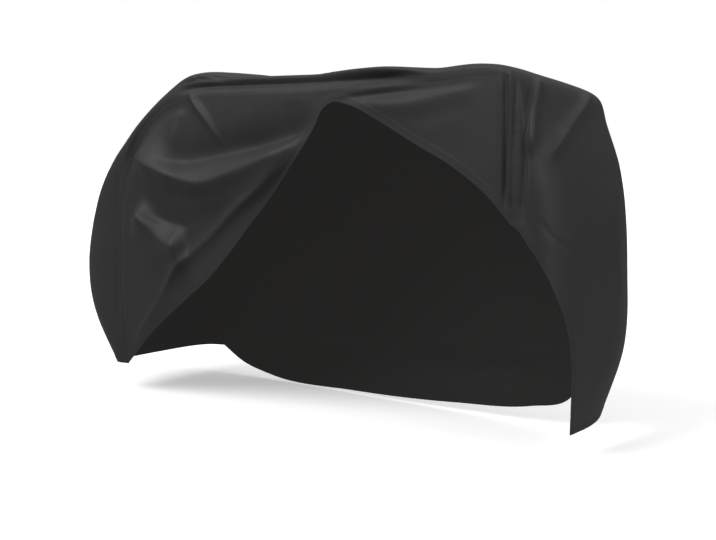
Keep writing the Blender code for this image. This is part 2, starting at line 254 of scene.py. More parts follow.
STRIP_FOLDS = (
    # crease below the top's rear corner
    (
        (
            (-0.442, -0.270, 1.073), (-0.409, -0.270, 1.035), (-0.358, -0.270, 0.989),
            (-0.325, -0.270, 0.952), (-0.294, -0.270, 0.916), (-0.262, -0.270, 0.884),
        ),
        0.012, 0.011, 0.011, 1.6,
    ),
    # upright pleats at the near front corner, from the side panel to the front wall
    (
        (
            (0.762, -0.250, 1.085), (0.766, -0.260, 0.984), (0.773, -0.267, 0.867),
            (0.778, -0.271, 0.700),
        ),
        0.007, 0.007, 0.003, 2.0,
    ),
    (
        (
            (0.777, -0.250, 1.085), (0.782, -0.259, 0.984), (0.789, -0.266, 0.867),
            (0.792, -0.270, 0.700),
        ),
        0.006, 0.006, -0.0045, 2.0,
    ),
    (
        (
            (0.791, -0.250, 1.075), (0.796, -0.258, 0.984), (0.802, -0.265, 0.867),
            (0.804, -0.269, 0.700),
        ),
        0.0055, 0.0055, 0.0065, 2.0,
    ),
    (
        (
            (0.803, -0.250, 1.070), (0.808, -0.257, 0.984), (0.814, -0.264, 0.867),
            (0.816, -0.268, 0.700),
        ),
        0.0065, 0.0065, -0.0055, 2.0,
    ),
    (
        (
            (0.805, -0.225, 1.050), (0.819, -0.243, 1.021), (0.822, -0.252, 0.984),
            (0.828, -0.262, 0.867), (0.829, -0.267, 0.700),
        ),
        0.006, 0.006, 0.002, 2.0,
    ),
    (
        (
            (0.805, -0.130, 1.050), (0.821, -0.180, 1.020), (0.832, -0.221, 0.986),
            (0.843, -0.253, 0.915), (0.845, -0.262, 0.845), (0.843, -0.267, 0.743),
            (0.842, -0.267, 0.660),
        ),
        0.010, 0.010, -0.010, 1.8,
    ),
    # the two ridges that come down across the front wall to it
    (
        (
            (0.805, -0.095, 1.054), (0.822, -0.155, 1.025), (0.834, -0.190, 0.990),
            (0.852, -0.237, 0.915), (0.858, -0.256, 0.845),
        ),
        0.015, 0.015, 0.016, 1.7,
    ),
    (
        (
            (0.838, -0.200, 0.975), (0.852, -0.237, 0.915), (0.858, -0.256, 0.845),
            (0.858, -0.265, 0.743), (0.860, -0.266, 0.680),
        ),
        0.010, 0.010, 0.004, 1.7,
    ),
    (
        (
            (0.800, 0.185, 1.060), (0.833, 0.080, 1.000), (0.853, -0.010, 0.956),
            (0.876, -0.130, 0.899), (0.885, -0.210, 0.845),
        ),
        0.015, 0.015, 0.020, 1.7,
    ),
    (
        ((0.864, -0.095, 0.935), (0.876, -0.180, 0.885), (0.882, -0.225, 0.830)),
        0.022, 0.022, 0.005, 1.8,
    ),
    # short crease beside the arch
    (
        (
            (0.885, -0.250, 0.695), (0.901, -0.232, 0.655), (0.916, -0.204, 0.630),
            (0.933, -0.145, 0.595),
        ),
        0.005, 0.005, -0.007, 1.5,
    ),
    # upright groove beside the rear seam
    (
        (
            (-0.795, -0.270, 0.860), (-0.808, -0.270, 0.696), (-0.816, -0.269, 0.517),
            (-0.824, -0.268, 0.334), (-0.828, -0.262, 0.200),
        ),
        0.012, 0.012, -0.004, 1.7,
    ),
    (
        (
            (-0.758, -0.272, 0.850), (-0.766, -0.272, 0.698), (-0.773, -0.270, 0.519),
            (-0.779, -0.268, 0.339), (-0.782, -0.262, 0.200),
        ),
        0.012, 0.012, 0.0015, 1.7,
    ),
    # lip that hangs over along the near edge of the top, and the groove under it
    (
        (
            (-0.540, -0.225, 1.085), (-0.480, -0.240, 1.098), (-0.366, -0.242, 1.112),
            (-0.220, -0.243, 1.101), (0.000, -0.246, 1.096), (0.220, -0.250, 1.097),
            (0.420, -0.256, 1.099), (0.560, -0.256, 1.098),
        ),
        0.030, 0.009, 0.017, 1.7,
    ),
    (
        (
            (-0.540, -0.245, 1.062), (-0.480, -0.262, 1.072), (-0.342, -0.264, 1.083),
            (-0.214, -0.262, 1.082), (0.033, -0.264, 1.079), (0.265, -0.267, 1.080),
            (0.420, -0.266, 1.083), (0.560, -0.264, 1.082),
        ),
        0.009, 0.014, -0.016, 1.8,
    ),
    # bellies of the rear and front walls
    (
        ((-0.810, 0.037, 0.883), (-0.975, 0.000, 0.515), (-0.883, 0.037, 0.184)),
        0.101, 0.101, 0.011, 2.0,
    ),
    (
        ((0.883, 0.074, 0.828), (0.911, 0.110, 0.515), (0.865, 0.092, 0.166)),
        0.083, 0.083, 0.009, 2.0,
    ),
    # slight ones
    (
        ((0.905, 0.160, 0.800), (0.925, 0.100, 0.640), (0.935, 0.120, 0.420)),
        0.030, 0.030, 0.003, 1.8,
    ),
    (
        ((0.900, 0.020, 0.760), (0.925, -0.030, 0.600), (0.930, -0.020, 0.420)),
        0.022, 0.022, -0.003, 1.8,
    ),
    (
        ((-0.640, -0.080, 1.030), (-0.800, -0.110, 0.920), (-0.940, -0.120, 0.780)),
        0.022, 0.022, 0.003, 1.8,
    ),
    (
        ((-0.620, 0.120, 1.040), (-0.800, 0.080, 0.920), (-0.980, 0.100, 0.740)),
        0.030, 0.030, -0.004, 1.8,
    ),
    (
        ((-1.030, -0.140, 0.640), (-1.060, -0.100, 0.450), (-1.000, -0.110, 0.240)),
        0.026, 0.026, 0.003, 1.8,
    ),
    (
        ((-0.360, 0.100, 1.120), (0.000, 0.060, 1.105), (0.420, 0.090, 1.105)),
        0.034, 0.034, 0.004, 1.8,
    ),
)
FOLD_STEPS = 24
FOLD_END = 0.2  # share of a fold's length over which it dies away at each end
# Beyond so many widths of its wider flank, and this much more, a fold lifts nothing.
FOLD_REACH, FOLD_MARGIN = 3.0, 0.01
WAVER, WAVER_SCALE, WAVER_SEED = 0.003, 9.0, 1  # how far a fold's flanks stray from its line
WAVER_WIDTH = 0.03  # narrower folds stray less
UNEVEN = 0.2  # how much a fold's height changes along it
UNEVEN_TURNS = (9.0, 40.0, 300.0)  # by the place on the fold, its upper width and its height
SEAM_HOLD = 0.028  # a side panel's folds die away this close to its seam
HEM_HOLD, HEM_PULL = 0.034, 0.75  # how near the lifted hem, and how much, folds are pulled flat
UNEVENNESS = ((0.0014, 5.0, 2), (0.0004, 17.0, 3))  # of all cloth: height, scale and seed
SEED_SHIFT = (7.3, 3.1, 5.7)  # from one seed's noise to the next one's
PUCKER, PUCKER_REACH = 0.0003, 0.016  # height of the seam puckers, and width of cloth they take
PUCKER_TURNS, PUCKER_DRIFT, DRIFT_TURNS = 620.0, 3.0, 57.0  # their spacing, and how it changes
HEM_STEP, SEAM_STEP = 0.0006, 0.00015  # how far a folded edge stands proud
STEP_SOFTNESS = 0.0020  # how wide the soft start of that step is

SIDES = {"near": -1.0, "far": 1.0}
PANEL_STEPS = {"near": (400, 80), "far": (210, 132)}
STRIP_STEPS = (440, 92)
EDGE_CLOSENESS = 0.4  # how much closer the grid lines of the near panel lie at its two edges
SHORTEST_EDGE = 1e-6  # of a mesh; shorter ones are closed up
# How many points stand for each row of a line's table, and for each point of a seam.
TABLE_FINENESS, SEAM_FINENESS = 30, 12
# How many points stand for each curve before it is read by its length.
SEAM_POINTS, HEM_POINTS, ARCH_POINTS, SECTION_POINTS, PLACE_POINTS = 600, 900, 400, 720, 2000
# How many stand for it where distances to it are measured.
SEAM_MARKS, HEM_MARKS, PANEL_HEM_MARKS, STRIP_HEM_MARKS = 160, 90, 120, 60

SEAM_STITCH_INSET, HEM_STITCH_INSET = 0.0016, 0.004  # of a stitch line from its folded edge
PAST_FOOT = 4  # grid rows between the arch's foot and the first stitch of its hem
THREAD_HALF_WIDTH, THREAD_HALF_HEIGHT, THREAD_RISE = 0.00055, 0.00045, 0.00025
THREAD_SHADES = (0.7, 1.3)  # between which its twist changes its colour
SHORTEST_ROW = 2.2  # grid rows shorter than this many times a line's distance don't carry it
WEAVE_PITCH = 0.0009
WAVE_TURN = 20.0  # radians that Blender's wave texture turns per unit, at scale 1
WEAVE_DEPTH, WEAVE_STRENGTH = 0.00004, 0.6
SOFT_CRUMPLE, FINE_CRUMPLE = 0.0022, 0.0003  # their depths
# The cloth's shade and roughness change by so much with its weave and two patterns of noise.
SHADE_SHIFTS = {"weave": (0.95, 1.08), "broad": (0.84, 1.16), "grain": (0.93, 1.07)}
ROUGHNESS_SHIFT = 0.05
# Painted light: the inside cloth glows evenly and slightly warm, standing in for the dim light and
# brownish sheen inside the cover.
INSIDE_PAINTED_GLOW, INSIDE_PAINTED_GLOW_COLOUR = 0.0155, (1.0, 0.95, 0.92)  # painted light on the inside

FLOOR_DROP = 0.004  # the floor lies this far below the lowest hem
FLOOR_RADIUS, FLOOR_GLOW = 60.0, 0.45
CAMERA_PLACE = (2.3138, -2.8143, -0.224)
CAMERA_DOWN, CAMERA_TURN = 6.226, 38.5  # degrees
CAMERA_LENS, CAMERA_SENSOR = 55.307, 36.0
SUNS = (  # name, strength, spread, tilt and turn, in degrees
    ("key", 2.15, 36.0, 50.0, -26.0),
    ("fill", 1.3, 36.0, 70.0, 90.0),
)
# Brightness of the surround by height, from 0 straight down to 1 straight up.
SURROUND = ((0.0, 0.28), (0.44, 0.28), (0.48, 0.06), (0.64, 0.02), (1.0, 0.9))


class CoverSettings(bpy.types.PropertyGroup):
    """Sizes and colours of the cover's looks."""

    cloth_thickness: FloatProperty(
        name="Cloth thickness", description="Of one layer", default=0.0015, unit="LENGTH"
    )
    hem_width: FloatProperty(
        name="Hem width", description="Of the turned edge", default=0.022, unit="LENGTH"
    )
    seam_width: FloatProperty(
        name="Seam width",
        description="Of the strip's edge, folded onto the side panels",
        default=0.009,
        unit="LENGTH",
    )
    stitch_length: FloatProperty(
        name="Stitch", description="Length of one stitch", default=0.0042, unit="LENGTH"
    )
    stitch_pitch: FloatProperty(
        name="Stitch pitch", description="From stitch to stitch", default=0.0068, unit="LENGTH"
    )
    strip_colour: FloatVectorProperty(
        name="Strip colour",
        description="Of the centre strip",
        default=(0.026, 0.026, 0.0255),
        subtype="COLOR",
    )
    panel_colour: FloatVectorProperty(
        name="Panel colour",
        description="Of the side panels",
        default=(0.026, 0.026, 0.0255),
        subtype="COLOR",
    )
    # Very dark, so that the inside's brightness comes mostly from its painted glow.
    lining_colour: FloatVectorProperty(
        name="Inside colour",
        description="Of the coated inside",
        default=(0.0045, 0.0043, 0.0042),
        subtype="COLOR",
    )
    # Darker than the cloth: partly the thread's own black, partly painted shade for the dark line
    # along the seams.
    thread_colour: FloatVectorProperty(
        name="Thread colour",
        description="Of the topstitching",
        default=(0.014, 0.014, 0.0135),
        subtype="COLOR",
    )
    floor_colour: FloatVectorProperty(
        name="Floor colour",
        description="Of the studio floor",
        default=(0.86, 0.86, 0.86),
        subtype="COLOR",
    )


# ------------------------------------------------------------------ curves and the plain form


def travel(line):
    """Distance along the line at each of its points."""
    return np.concatenate([[0.0], np.cumsum(np.linalg.norm(np.diff(line, axis=0), axis=1))])


def curve_at(rows, knots, places):
    """A cubic curve through the rows at their knots, read at the places."""
    slopes = np.gradient(rows, knots, axis=0)
    index = np.clip(np.searchsorted(knots, places, side="right") - 1, 0, len(knots) - 2)
    span = (knots[index + 1] - knots[index])[:, None]
    t = (places - knots[index])[:, None] / span
    return (
        (2 * t**3 - 3 * t**2 + 1) * rows[index]
        + (t**3 - 2 * t**2 + t) * span * slopes[index]
        + (3 * t**2 - 2 * t**3) * rows[index + 1]
        + (t**3 - t**2) * span * slopes[index + 1]
    )


def read_at(rows, knots, places):
    """The rows at their knots, read at the places in straight steps."""
    return np.stack([np.interp(places, knots, column) for column in rows.T], axis=-1)


def even_points(line, shares):
    """The line's points at those shares of its length."""
    so_far = travel(line)
    return read_at(line, so_far, shares * so_far[-1])


def smooth_line(rows, count):
    """Evenly spaced points of a smooth curve through the rows."""
    rows = np.array(rows, float)
    knots = travel(rows)
    fine = curve_at(rows, knots, np.linspace(0.0, knots[-1], TABLE_FINENESS * len(rows)))
    return even_points(fine, np.linspace(0.0, 1.0, count))


def eased(share):
    """The share, kept from 0 to 1, with a soft start and a soft end."""
    share = share.clip(0.0, 1.0)
    return 3.0 * share**2 - 2.0 * share**3


def half_width(x, z):
    """How far a side panel stands off the middle plane, before its folds."""
    top = np.clip((z - TOP_DRAW_FROM) / (TOP_DRAW_TO - TOP_DRAW_FROM), 0.0, 1.0)
    hem = np.clip((HEM_DRAW_FROM - z) / HEM_DRAW_FROM, 0.0, 1.0)
    end = np.abs(x) / END_AT
    return FULL_HALF - TOP_DRAW * top**2 - HEM_DRAW * hem**2 - END_DRAW * end**4


def on_side(side, points):
    """Points given as (x, z), placed on one of the side panels."""
    x, z = np.moveaxis(np.asarray(points, float), -1, 0)
    return np.stack([x, SIDES[side] * half_width(x, z), z], axis=-1)


def leant(points):
    """The points with the near side of the top's front pulled up and its far side let down."""
    start, full = np.array(LEAN_FROM), np.array(LEAN_TO)
    share = eased((points[..., [0, 2]] - start) / (full - start)).prod(axis=-1)
    moved = points.copy()
    moved[..., 2] -= LEAN * share * points[..., 1] / FULL_HALF
    return moved


def strip_knots():
    """The running count of rows at each row of the strip's table."""
    return np.concatenate([[0.0], np.cumsum(np.array(STRIP)[:-1, ROWS])])


def strip_rows(places):
    """The strip's table read at places along it, and the unit way from seam to outline there."""
    rows = curve_at(np.array(STRIP)[:, :ROWS], strip_knots(), places)
    outwards = rows[:, OUTLINE] - rows[:, SEAM]
    return rows, outwards / np.linalg.norm(outwards, axis=1)[:, None]


def seam_line(first, last, count, lap=SEAM_LAP / 2):
    """A run of the seam in side view, between two rows of the strip's table, evenly spaced."""
    knots = strip_knots()
    rows, way_out = strip_rows(np.linspace(knots[first], knots[last], SEAM_FINENESS * count))
    return even_points(rows[:, SEAM] + lap * way_out, np.linspace(0.0, 1.0, count))


# ------------------------------------------------------------------ folds


def nearest_on(line, points):
    """Each point's distance from the line, and the share along the line of the nearest place."""
    away, share = np.full(len(points), np.inf), np.zeros(len(points))
    steps = len(line) - 1
    for i, (start, step) in enumerate(zip(line, np.diff(line, axis=0))):
        t = np.clip((points - start) @ step / (step @ step), 0.0, 1.0)
        here = np.linalg.norm(points - start - t[:, None] * step, axis=1)
        share = np.where(here < away, (i + t) / steps, share)
        away = np.minimum(here, away)
    return away, share


def wander(points, scale, seed):
    """Smooth noise from -1 to 1 at each point."""
    shift = Vector([seed * step for step in SEED_SHIFT])
    return np.array([noise.noise(Vector(p) * scale + shift) for p in points])


def fold_lines():
    """The side panels' folds and the strip's, as lines in space with their four sizes."""
    panels = [
        (smooth_line(on_side(side, points), FOLD_STEPS), *shape)
        for side, folds in (("near", NEAR_FOLDS), ("far", FAR_FOLDS))
        for points, *shape in folds
    ]
    strip = [(smooth_line(points, FOLD_STEPS), *shape) for points, *shape in STRIP_FOLDS]
    return panels, strip


@functools.cache
def both_seams():
    """The two long seams in space."""
    line = seam_line(0, len(STRIP) - 1, SEAM_MARKS, 0.0)
    return {side: on_side(side, line) for side in SIDES}


def lift_along(lines, points):
    """How far some of the folds lift each point."""
    lift = np.zeros(len(points))
    waver = wander(points, WAVER_SCALE, WAVER_SEED) * WAVER
    by_place, by_width, by_height = UNEVEN_TURNS
    for line, above, below, height, crest in lines:
        reach = FOLD_REACH * max(above, below) + FOLD_MARGIN
        low, high = line.min(axis=0) - reach, line.max(axis=0) + reach
        near = np.flatnonzero(((points > low) & (points < high)).all(axis=1))
        if not len(near):
            continue
        away, share = nearest_on(line, points[near])
        over = points[near, 2] > np.interp(share, np.linspace(0.0, 1.0, len(line)), line[:, 2])
        width = np.where(over, above, below)
        away = np.abs(away + waver[near] * np.minimum(1.0, width / WAVER_WIDTH))
        fade = eased(np.minimum(share, 1.0 - share) / FOLD_END)
        turn = by_place * share + by_width * above + by_height * abs(height)
        uneven = 1.0 + UNEVEN * np.sin(turn)
        lift[near] += height * uneven * fade * np.exp(-((away / width) ** crest))
    return lift


def fold_lift(points):
    """How far folds, seam puckers and small unevenness lift each point off the plain surface."""
    of_panels, of_strip = fold_lines()
    lift = lift_along(of_panels, points)
    puckers = np.zeros(len(points))
    for seam in both_seams().values():
        away, share = nearest_on(seam, points)
        lift *= 1.0 - np.exp(-((away / SEAM_HOLD) ** 4))
        drift = PUCKER_DRIFT * np.sin(share * DRIFT_TURNS)
        pucker = PUCKER * np.sin(share * PUCKER_TURNS + drift)
        puckers += pucker * np.exp(-((away / PUCKER_REACH) ** 2))
    lift += lift_along(of_strip, points)
    lift += sum(height * wander(points, scale, seed) for height, scale, seed in UNEVENNESS)
    away, _ = nearest_on(near_hem(), points)
    return lift * (1.0 - HEM_PULL * np.exp(-((away / HEM_HOLD) ** 2))) + puckers


@functools.cache
def near_hem():
    """The lifted hem in space, as evenly spaced points."""
    return on_side("near", smooth_line(NEAR_HEM, HEM_MARKS))


def edge_step(away, width, height):
    """How far a folded edge stands proud, by distance from the cloth's edge."""
    return height * (1.0 - np.tanh((away - width) / STEP_SOFTNESS)) / 2


def distance_to(edge, marks, points):
    """Each point's distance to an edge, which about so many of its points stand for."""
    return nearest_on(edge[:: max(1, len(edge) // marks)], points)[0]


# ------------------------------------------------------------------ the three cloths as grids


def near_panel(hem_width):
    """The lifted side panel, from its hem to its seam: points in space, and metres on cloth."""
    across, up = PANEL_STEPS["near"]
    hem_share = np.linspace(0.0, 1.0, across + 1)
    seam_share = np.interp(hem_share, *np.array(RULING).T)
    seam = seam_line(0, ARCH_FOOT, SEAM_POINTS)
    hem = even_points(smooth_line([seam[0], *NEAR_HEM, seam[-1]], HEM_POINTS), hem_share)
    sewn = even_points(seam, seam_share)
    t = np.linspace(0.0, 1.0, up + 1)
    t = (1.0 - EDGE_CLOSENESS) * t + EDGE_CLOSENESS * (1.0 - np.cos(np.pi * t)) / 2
    flat = hem[:, None] + t[None, :, None] * (sewn - hem)[:, None]
    return bend_panel("near", flat, hem, hem_width)


def far_panel(hem_width):
    """The hanging side panel, from its hem to its seam, with its rows from front to rear."""
    across, up = PANEL_STEPS["far"]
    u, v = np.linspace(0.0, 1.0, across + 1), np.linspace(0.0, 1.0, up + 1)
    rear = seam_line(0, REAR_CORNER, up + 1)
    top = seam_line(REAR_CORNER, FRONT_CORNER, across + 1)
    front = seam_line(FRONT_CORNER, len(STRIP) - 1, up + 1)[::-1]
    hem = smooth_line([rear[0], *FAR_HEM, front[0]], across + 1)
    u, v = u[:, None, None], v[None, :, None]
    flat = (
        (1 - v) * hem[:, None]
        + v * top[:, None]
        + (1 - u) * rear[None]
        + u * front[None]
        - (1 - u) * (1 - v) * hem[0]
        - u * (1 - v) * hem[-1]
        - (1 - u) * v * top[0]
        - u * v * top[-1]
    )
    return bend_panel("far", flat[::-1], hem, hem_width)


def bend_panel(side, flat, hem, hem_width):
    """A panel's flat grid, bent out along its folds."""
    plain = on_side(side, flat).reshape(-1, 3)
    away = distance_to(on_side(side, hem), PANEL_HEM_MARKS, plain)
    lift = fold_lift(plain) + edge_step(away, hem_width, HEM_STEP)
    points = plain + np.array([0.0, SIDES[side], 0.0]) * lift[:, None]
    return leant(points).reshape(*flat.shape[:2], 3), flat


@functools.cache
def strip_places():
    """The strip's grid rows: each one's place in the table, and its distance from the rear hem."""
    fine = np.linspace(0.0, strip_knots()[-1], PLACE_POINTS)
    reach = travel(strip_rows(fine)[0][:, OUTLINE])
    length = np.linspace(0.0, reach[-1], STRIP_STEPS[0] + 1)
    return np.interp(length, reach, fine), length


def arch_foot_row():
    """The strip's first grid row that the arch cuts."""
    return int(np.searchsorted(strip_places()[0], strip_knots()[ARCH_FOOT], side="right"))


def centre_strip(hem_width, seam_width):
    """The strip over rear, top and front, row by row from the rear hem to the front one."""
    across = STRIP_STEPS[1]
    knots = strip_knots()
    places, length = strip_places()
    rows, ways_out = strip_rows(places)
    arch = smooth_line(ARCH[::-1], ARCH_POINTS)
    grid, metres = [], []
    for place, row, way_out in zip(places, rows, ways_out):
        square, seam = row[SQUARE], row[SEAM]
        land = seam + SEAM_LAND * way_out
        half = half_width(*land)
        arched = place > knots[ARCH_FOOT]
        start = max(-1.0, np.interp(row[OUTLINE][1], *arch.T)) if arched else -1.0
        angle = even_angles(start, square, half, np.linalg.norm(row[OUTLINE] - land), across)
        rise = np.abs(np.cos(angle)) ** (2 / square)
        flat = land + rise[:, None] * (row[OUTLINE] - land)
        side = np.sign(angle) * np.abs(np.sin(angle)) ** (2 / square)
        points = np.stack([flat[:, 0], half * side, flat[:, 1]], axis=1)
        edge = seam - SEAM_LAP / 2 * way_out
        points[-1] = on_side("far", edge)
        if not arched:
            points[0] = on_side("near", edge)
        facing = np.stack(
            [way_out[0] * np.cos(angle), np.sin(angle), way_out[1] * np.cos(angle)], axis=1
        )
        grid.append(np.stack([points, facing]))
        so_far = travel(points)
        centre = np.interp(0.0, points[:, 1], so_far)
        metres.append(so_far - centre)
    grid = np.array(grid)
    plain, facing = grid[:, 0].reshape(-1, 3), grid[:, 1].reshape(-1, 3)
    away = np.full(len(plain), np.inf)
    foot = arch_foot_row()
    for edge in (grid[0, 0], grid[-1, 0], grid[foot:, 0, 0]):
        away = np.minimum(away, distance_to(edge, STRIP_HEM_MARKS, plain))
    lift = fold_lift(plain) + edge_step(away, hem_width, HEM_STEP)
    for seam in both_seams().values():
        lift += edge_step(distance_to(seam, SEAM_MARKS, plain), seam_width, SEAM_STEP)
    points = plain + facing * lift[:, None]
    uv = np.stack([np.array(metres), np.repeat(length[:, None], across + 1, axis=1)], axis=-1)
    return leant(points).reshape(grid[:, 0].shape), uv


def even_angles(start, square, half, depth, count):
    """Angles round the crowned section, for evenly spaced points from start to the far side."""
    angle = np.linspace(start, 1.0, SECTION_POINTS) * np.pi / 2
    rise = depth * np.abs(np.cos(angle)) ** (2 / square)
    across = half * np.sign(angle) * np.abs(np.sin(angle)) ** (2 / square)
    so_far = travel(np.stack([across, rise], axis=1))
    return np.interp(np.linspace(0.0, so_far[-1], count + 1), so_far, angle)


# ------------------------------------------------------------------ meshes


def to_row_frame(points):
    """Heights above the ground become heights from the held point."""
    return np.asarray(points) - np.array([0.0, 0.0, HELD_HEIGHT])


def add_cloth(name, node, grid, materials, settings):
    """A sheet of cloth from its grid: bmesh's flat grid, bent, then given its thickness."""
    points, metres = grid
    points = to_row_frame(points)
    rows, columns = points.shape[:2]
    cloth = bmesh.new()
    uv = cloth.loops.layers.uv.new("cloth")
    bmesh.ops.create_grid(cloth, x_segments=rows - 1, y_segments=columns - 1, size=0.5)
    place = {}
    for vertex in cloth.verts:
        row = round((vertex.co.x + 0.5) * (rows - 1))
        column = round((vertex.co.y + 0.5) * (columns - 1))
        place[vertex.index] = (row, column)
        vertex.co = points[row, column]
    for face in cloth.faces:
        for loop in face.loops:
            loop[uv].uv = metres[place[loop.vert.index]]
        face.smooth = True
    bmesh.ops.dissolve_degenerate(cloth, dist=SHORTEST_EDGE, edges=cloth.edges)
    for edge in cloth.edges:
        edge.smooth = not edge.is_boundary
    mesh = bpy.data.meshes.new(name)
    cloth.to_mesh(mesh)
    cloth.free()
    for material in materials:
        mesh.materials.append(material)
    sheet = bpy.data.objects.new(name, mesh)
    bpy.context.scene.collection.objects.link(sheet)
    wall = sheet.modifiers.new("thickness", "SOLIDIFY")
    wall.thickness = settings.cloth_thickness
    wall.offset = -1.0
    wall.material_offset = 1
    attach(sheet, "root")
    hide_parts(node)
    return sheet


def edge_normals(points):
    """Outward normals of a grid."""
    down, right = np.gradient(points, axis=0), np.gradient(points, axis=1)
    normal = np.cross(down, right)
    return normal / np.maximum(np.linalg.norm(normal, axis=-1), 1e-12)[..., None]


def line_beside(grid, edge, distance, rows=slice(None)):
    """A line on the cloth, that far from one of its edges: its points and normals."""
    points = grid[0][rows]
    normals = edge_normals(points)
    if edge in ("first_row", "last_row"):
        points, normals = points.swapaxes(0, 1), normals.swapaxes(0, 1)
    if edge in ("last_column", "last_row"):
        points, normals = points[:, ::-1], normals[:, ::-1]
    found = []
    for run, facing in zip(points, normals):
        so_far = travel(run)
        if so_far[-1] > SHORTEST_ROW * distance:
            found.append(read_at(np.concatenate([run, facing], axis=1), so_far, distance))
    found = np.array(found)
    return found[:, :3], found[:, 3:]


def stitch_places(line, normals, settings):
    """Where each stitch of a line lies: its middle, its direction and its normal."""
    so_far = travel(line)
    count = int(so_far[-1] / settings.stitch_pitch)
    places = (np.arange(count) + 0.5) * settings.stitch_pitch
    reach = settings.stitch_length / 2
    both = np.concatenate([line, normals], axis=1)
    middle, before, after = (
        read_at(both, so_far, places + shift) for shift in (0.0, -reach, reach)
    )
    return middle[:, :3], after[:, :3] - before[:, :3], middle[:, 3:]


def add_stitches(name, lines, material, settings):
    """Rows of topstitches lying on the cloth, each one a small rounded thread."""
    pattern = bmesh.new()
    bmesh.ops.create_icosphere(pattern, subdivisions=1, radius=1.0)
    template = bpy.data.meshes.new("stitch")
    pattern.to_mesh(template)
    pattern.free()
    corners = np.array([v.co for v in template.vertices])
    thread = bmesh.new()
    size = np.array([settings.stitch_length / 2, THREAD_HALF_WIDTH, THREAD_HALF_HEIGHT])
    for line, normals in lines:
        for middle, way, normal in zip(*stitch_places(line, normals, settings)):
            way = way / np.linalg.norm(way)
            side = np.cross(normal, way)
            side /= np.linalg.norm(side)
            turn = np.stack([way, side, np.cross(way, side)])
            placed = (corners * size) @ turn + to_row_frame(middle) + normal * THREAD_RISE
            template.vertices.foreach_set("co", placed.ravel())
            thread.from_mesh(template)
    mesh = bpy.data.meshes.new(name)
    thread.to_mesh(mesh)
    thread.free()
    bpy.data.meshes.remove(template)
    mesh.shade_smooth()
    mesh.materials.append(material)
    stitches = bpy.data.objects.new(name, mesh)
    bpy.context.scene.collection.objects.link(stitches)
    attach(stitches, "root")
    return stitches


# ------------------------------------------------------------------ materials


class NodeBench:
    """Short words for wiring a material's nodes."""

    def __init__(self, name):
        self.material = bpy.data.materials.new(name)
        self.material.use_nodes = True
        self.tree = self.material.node_tree
        self.surface = self.tree.nodes["Principled BSDF"]

    def add(self, kind, values=(), **options):
        node = self.tree.nodes.new("ShaderNode" + kind)
        for key, value in options.items():
            setattr(node, key, value)
        for key, value in dict(values).items():
            node.inputs[key].default_value = value
        return node

    def link(self, source, target):
        self.tree.links.new(source, target)

    def noise(self, vector, scale, detail, roughness=0.5):
        node = self.add("TexNoise", {"Scale": scale, "Detail": detail, "Roughness": roughness})
        self.link(vector, node.inputs["Vector"])
        return node.outputs["Fac"]

    def math(self, operation, first, second):
        node = self.add("Math", operation=operation)
        for socket, value in zip(node.inputs, (first, second)):
            if isinstance(value, (int, float)):
                socket.default_value = value
            else:
                self.link(value, socket)
        return node.outputs[0]

    def between(self, factor, low, high):
        """The factor's 0 to 1 spread from low to high."""
        return self.math("ADD", self.math("MULTIPLY", factor, high - low), low)


def woven_cloth(name, colour, roughness, specular, sheen, crumple):
    """Coated woven cloth: a fine plain weave, soft crumples and slight shifts of its shade."""
    bench = NodeBench(name)
    surface = bench.surface
    where = bench.add("TexCoord").outputs["Object"]
    on_cloth = bench.add("UVMap", uv_map="cloth").outputs["UV"]
    waves = 2 * math.pi / (WAVE_TURN * WEAVE_PITCH)
    warp, weft = (
        bench.add("TexWave", {"Scale": waves}, bands_direction=direction)
        for direction in ("X", "Y")
    )
    for thread in (warp, weft):
        bench.link(on_cloth, thread.inputs["Vector"])
    weave = bench.math("MULTIPLY", warp.outputs["Fac"], weft.outputs["Fac"])
    broad = bench.noise(where, scale=2.6, detail=3.0, roughness=0.55)
    grain = bench.noise(where, scale=160.0, detail=2.0, roughness=0.6)
    soft = bench.noise(where, scale=6.0, detail=3.0, roughness=0.45)
    fine = bench.noise(where, scale=30.0, detail=2.0, roughness=0.45)

    shade = bench.between(weave, *SHADE_SHIFTS["weave"])
    for cause, shift in ((broad, SHADE_SHIFTS["broad"]), (grain, SHADE_SHIFTS["grain"])):
        shade = bench.math("MULTIPLY", shade, bench.between(cause, *shift))
    tint = bench.add("Mix", data_type="RGBA", blend_type="MULTIPLY")
    tint.inputs["Factor"].default_value = 1.0
    plain, shaded = (socket for socket in tint.inputs if socket.type == "RGBA")
    (tinted,) = (socket for socket in tint.outputs if socket.type == "RGBA")
    plain.default_value = (*colour, 1.0)
    bench.link(shade, shaded)
    bench.link(tinted, surface.inputs["Base Color"])

    worn = bench.between(grain, roughness - ROUGHNESS_SHIFT, roughness + ROUGHNESS_SHIFT)
    bench.link(worn, surface.inputs["Roughness"])
    normal = None
    for height, distance, strength in (
        (soft, SOFT_CRUMPLE * crumple, 1.0),
        (fine, FINE_CRUMPLE * crumple, 1.0),
        (weave, WEAVE_DEPTH, WEAVE_STRENGTH),
    ):
        bump = bench.add("Bump", {"Distance": distance, "Strength": strength})
        bench.link(height, bump.inputs["Height"])
        if normal is not None:
            bench.link(normal, bump.inputs["Normal"])
        normal = bump.outputs["Normal"]
    bench.link(normal, surface.inputs["Normal"])
    surface.inputs["Specular IOR Level"].default_value = specular
    surface.inputs["Sheen Weight"].default_value = sheen
    surface.inputs["Sheen Roughness"].default_value = 0.45
    return bench.material


def thread_material(colour):
    """Polyester sewing thread, with its twist as small shade changes."""
    bench = NodeBench("sewing_thread")
    where = bench.add("TexCoord").outputs["Object"]
    twist = bench.noise(where, scale=900.0, detail=1.0)
    ramp = bench.add("ValToRGB")
    for element, shade in zip(ramp.color_ramp.elements, THREAD_SHADES):
        element.color = (*(shade * c for c in colour), 1.0)
    bench.link(twist, ramp.inputs["Fac"])
    bench.link(ramp.outputs["Color"], bench.surface.inputs["Base Color"])
    bench.surface.inputs["Roughness"].default_value = 0.55
    return bench.material


